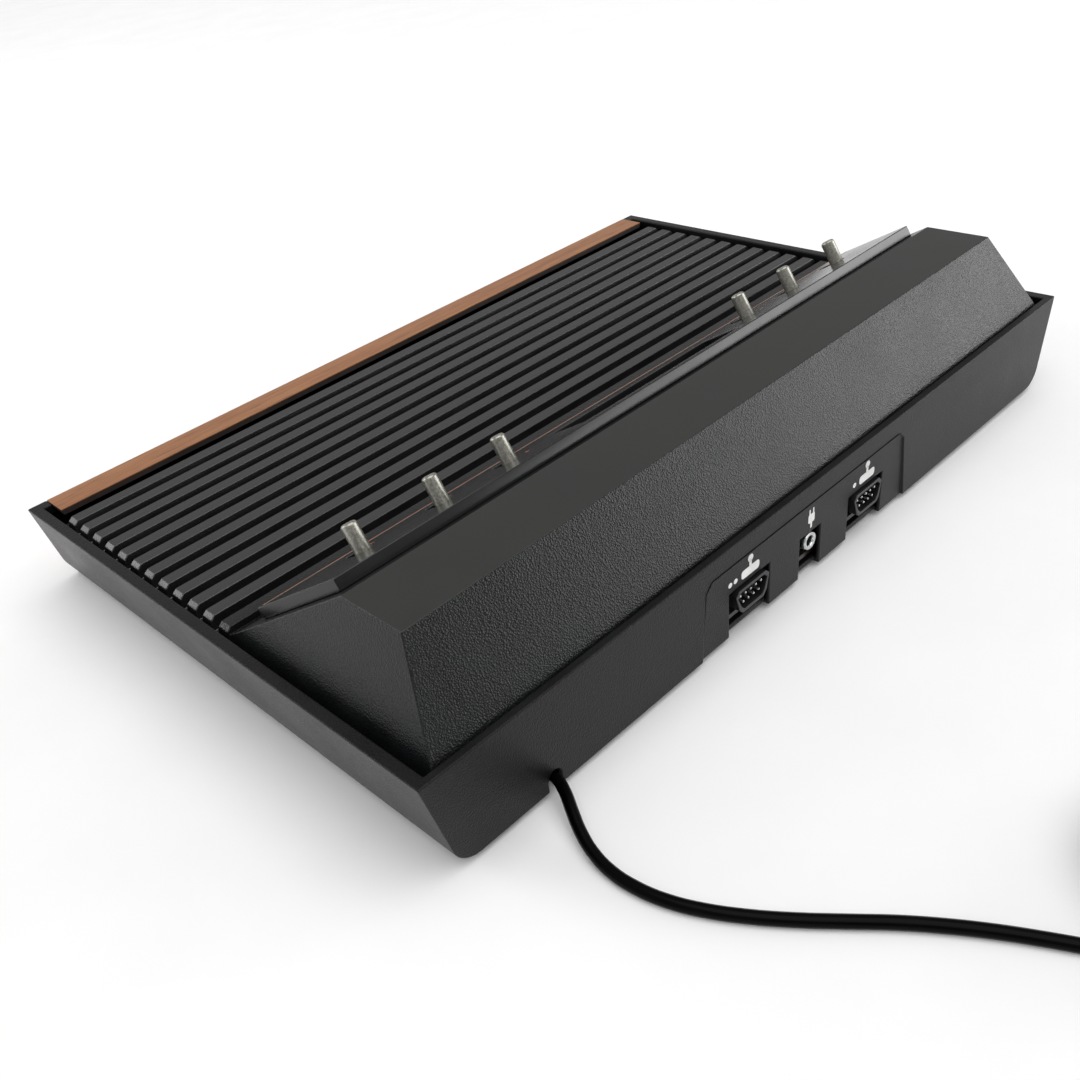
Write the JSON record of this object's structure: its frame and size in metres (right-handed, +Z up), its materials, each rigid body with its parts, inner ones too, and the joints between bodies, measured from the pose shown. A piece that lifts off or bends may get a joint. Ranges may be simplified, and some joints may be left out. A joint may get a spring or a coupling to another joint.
{
  "type": "video game console",
  "caption": "Low ribbed-deck home video game console with a rear hump, switch levers, a cartridge slot and a captive aerial cord.",
  "frame": {"origin": "on the surface the console stands on, under the middle of the case", "axes": "+X to the right-hand end for a player in front, +Y towards the sockets at the back, +Z up"},
  "size_m": [0.346, 0.4225, 0.0678],
  "materials": {
    "tub_plastic": "moulded, lightly grained",
    "shell_plastic": "moulded, pebble grain",
    "panel_plastic": "moulded",
    "woodgrain": "printed film",
    "plate_plastic": "semi-gloss with printed lines",
    "inner_plastic": "moulded",
    "connector_plastic": "moulded",
    "lever_metal": "dull, cast",
    "switch_metal": "plated sheet",
    "pin_steel": "drawn",
    "board_green": "glass-fibre board",
    "shield_metal": "cast",
    "chip_black": "moulded",
    "cable_grey": "flat cable",
    "socket_black": "moulded",
    "contact_metal": "plated",
    "bush_metal": "plated",
    "sink_metal": "bare",
    "capacitor_sleeve": "shrunk sleeve",
    "can_metal": "tinned",
    "cord_rubber": "vinyl jacket",
    "slider_white": "moulded",
    "foot_rubber": "matt",
    "screw_steel": "zinc plated",
    "plug_black": "moulded",
    "plug_metal": "nickel plated"
  },
  "bodies": {
    "console": {"bottom_tub": "tub_plastic", "top_shell": "shell_plastic", "front_panel": "panel_plastic", "woodgrain_film": "woodgrain", "switch_plate": "plate_plastic", "cartridge_chute": "inner_plastic", "cartridge_connector": "connector_plastic", "power_switch": "switch_metal", "tv_type_switch": "switch_metal", "left_difficulty_switch": "switch_metal", "right_difficulty_switch": "switch_metal", "select_switch": "switch_metal", "reset_switch": "switch_metal", "lever_pins": "pin_steel", "return_springs": "pin_steel", "switch_board": "board_green", "board_screws": "screw_steel", "main_board": "board_green", "shield_bottom": "shield_metal", "shield_top": "shield_metal", "processor_chip": "chip_black", "video_chip": "chip_black", "io_chip": "chip_black", "ribbon_cable": "cable_grey", "socket_board": "board_green", "left_controller_socket": "socket_black", "right_controller_socket": "socket_black", "left_contacts": "contact_metal", "right_contacts": "contact_metal", "power_jack": "socket_black", "jack_bush": "bush_metal", "voltage_regulator": "chip_black", "heat_sink": "sink_metal", "filter_capacitors": "capacitor_sleeve", "rf_modulator": "can_metal", "cord_lead": "cord_rubber", "cord_clamp": "inner_plastic", "channel_switch": "switch_metal", "rubber_feet": "foot_rubber", "case_screws": "screw_steel", "rf_cord": "cord_rubber", "cord_coil": "cord_rubber", "coil_tie": "cord_rubber", "cord_tail": "cord_rubber", "plug_body": "plug_black", "plug_shell": "plug_metal", "plug_pin": "plug_metal"},
    "power_lever": {"power_lever": "lever_metal"},
    "tv_type_lever": {"tv_type_lever": "lever_metal"},
    "left_difficulty_lever": {"left_difficulty_lever": "lever_metal"},
    "right_difficulty_lever": {"right_difficulty_lever": "lever_metal"},
    "select_lever": {"select_lever": "lever_metal"},
    "reset_lever": {"reset_lever": "lever_metal"},
    "channel_slider": {"channel_slider": "slider_white"}
  },
  "joints": [
    {"name": "power_throw", "type": "hinge", "parent": "console", "child": "power_lever", "pos_m": [-0.1278, 0.05211, 0.04508], "axis": [1, 0, 0], "range_deg": [0, 20]},
    {"name": "tv_type_throw", "type": "hinge", "parent": "console", "child": "tv_type_lever", "pos_m": [-0.0954, 0.05211, 0.04508], "axis": [1, 0, 0], "range_deg": [0, 20]},
    {"name": "left_difficulty_throw", "type": "hinge", "parent": "console", "child": "left_difficulty_lever", "pos_m": [-0.0655, 0.05211, 0.04508], "axis": [1, 0, 0], "range_deg": [0, 20]},
    {"name": "right_difficulty_throw", "type": "hinge", "parent": "console", "child": "right_difficulty_lever", "pos_m": [0.0655, 0.05211, 0.04508], "axis": [1, 0, 0], "range_deg": [0, 20]},
    {"name": "select_throw", "type": "hinge", "parent": "console", "child": "select_lever", "pos_m": [0.0954, 0.05211, 0.04508], "axis": [1, 0, 0], "range_deg": [0, 14], "stiffness_Nm_per_rad": 0.06, "springref_deg": -8.59},
    {"name": "reset_throw", "type": "hinge", "parent": "console", "child": "reset_lever", "pos_m": [0.1278, 0.05211, 0.04508], "axis": [1, 0, 0], "range_deg": [0, 14], "stiffness_Nm_per_rad": 0.06, "springref_deg": -8.59},
    {"name": "channel_slide", "type": "slide", "parent": "console", "child": "channel_slider", "axis": [1, 0, 0], "range_m": [0, 0.0058]}
  ]
}
